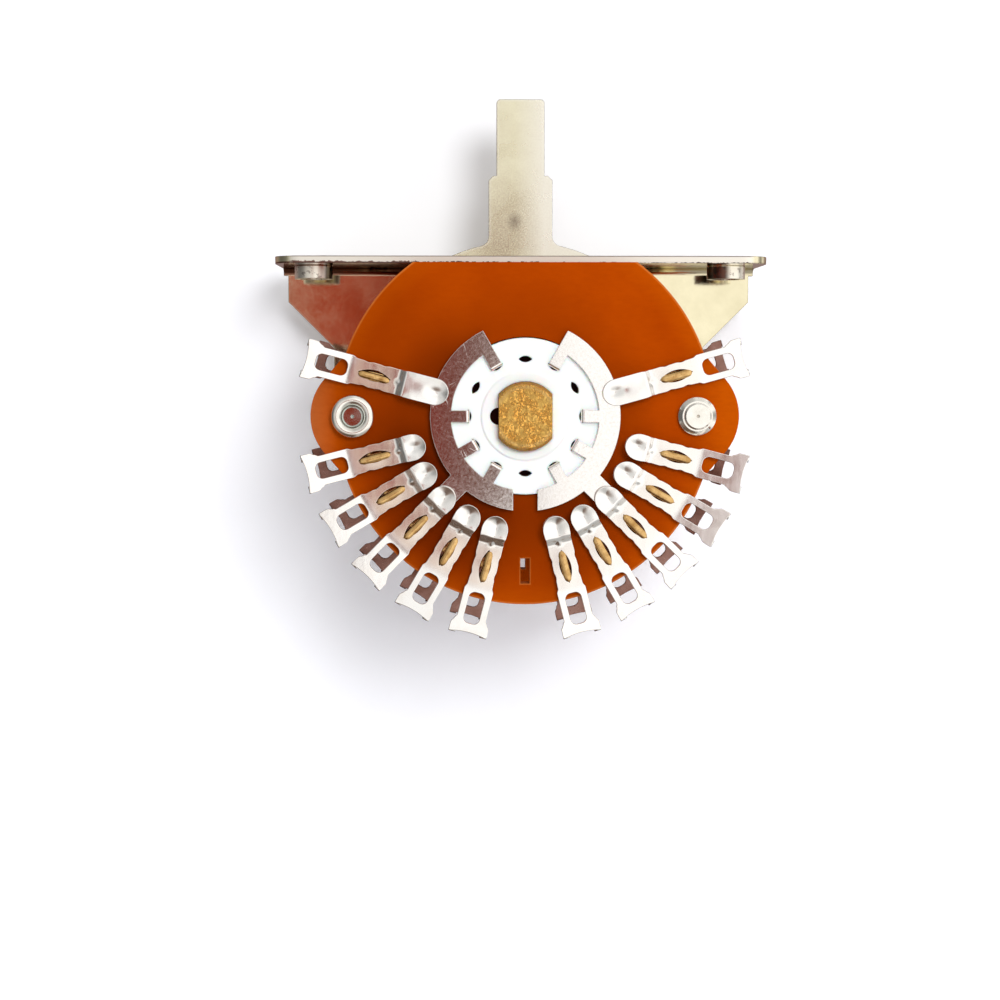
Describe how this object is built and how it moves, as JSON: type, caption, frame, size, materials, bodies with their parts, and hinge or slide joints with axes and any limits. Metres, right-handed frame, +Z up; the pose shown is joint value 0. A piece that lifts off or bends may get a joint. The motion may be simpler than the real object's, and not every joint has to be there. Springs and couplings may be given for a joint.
{
  "type": "guitar pickup selector switch",
  "caption": "Lever-operated five-position rotary switch for guitar pickups: slotted mounting bracket, flat lever, turning shaft and two contact wafers with solder lugs.",
  "frame": {"origin": "midpoint between the two fixing holes, on the top face of the bracket's flange", "axes": "+Z up along the lever at rest, +X along the flange to the right as seen from the front wafer, +Y from the wafers back to the bracket plate"},
  "size_m": [0.0484, 0.0233, 0.0517],
  "materials": {
    "plated_steel": "bright nickel plate",
    "spring_steel": "polished",
    "shaft_brass": "cut end, matte",
    "staple_brass": "rolled",
    "laminate": "paper laminate, satin",
    "white_nylon": "moulded",
    "silvered_brass": "bright silver plate"
  },
  "bodies": {
    "frame": {"bracket": "plated_steel", "front_wafer": "laminate", "rear_wafer": "laminate", "front_common_left": "silvered_brass", "front_common_right": "silvered_brass", "rear_common_left": "silvered_brass", "rear_common_right": "silvered_brass", "front_throw_left_1": "silvered_brass", "front_throw_left_2": "silvered_brass", "front_throw_left_3": "silvered_brass", "front_throw_left_4": "silvered_brass", "front_throw_left_5": "silvered_brass", "front_throw_right_1": "silvered_brass", "front_throw_right_2": "silvered_brass", "front_throw_right_3": "silvered_brass", "front_throw_right_4": "silvered_brass", "front_throw_right_5": "silvered_brass", "rear_throw_left_1": "silvered_brass", "rear_throw_left_2": "silvered_brass", "rear_throw_left_3": "silvered_brass", "rear_throw_left_4": "silvered_brass", "rear_throw_left_5": "silvered_brass", "rear_throw_right_1": "silvered_brass", "rear_throw_right_2": "silvered_brass", "rear_throw_right_3": "silvered_brass", "rear_throw_right_4": "silvered_brass", "rear_throw_right_5": "silvered_brass", "front_lower_leaves": "silvered_brass", "rear_lower_leaves": "silvered_brass", "front_staples": "staple_brass", "rear_staples": "staple_brass", "post_left": "plated_steel", "post_right": "plated_steel", "post_collar_left": "plated_steel", "post_washer_right": "plated_steel", "front_spacer_left": "plated_steel", "front_spacer_right": "plated_steel", "rear_spacer_left": "plated_steel", "rear_spacer_right": "plated_steel"},
    "lever_set": {"lever": "plated_steel", "shaft": "shaft_brass", "shaft_retainer": "spring_steel", "detent_spring": "spring_steel", "detent_balls": "spring_steel", "front_rotor": "white_nylon", "rear_rotor": "white_nylon", "front_blade_left": "silvered_brass", "front_blade_right": "silvered_brass", "rear_blade_left": "silvered_brass", "rear_blade_right": "silvered_brass"}
  },
  "joints": [
    {"name": "lever_turn", "type": "hinge", "parent": "frame", "child": "lever_set", "pos_m": [0, 0, -0.0153], "axis": [0, 1, 0], "range_deg": [-30, 30]}
  ]
}
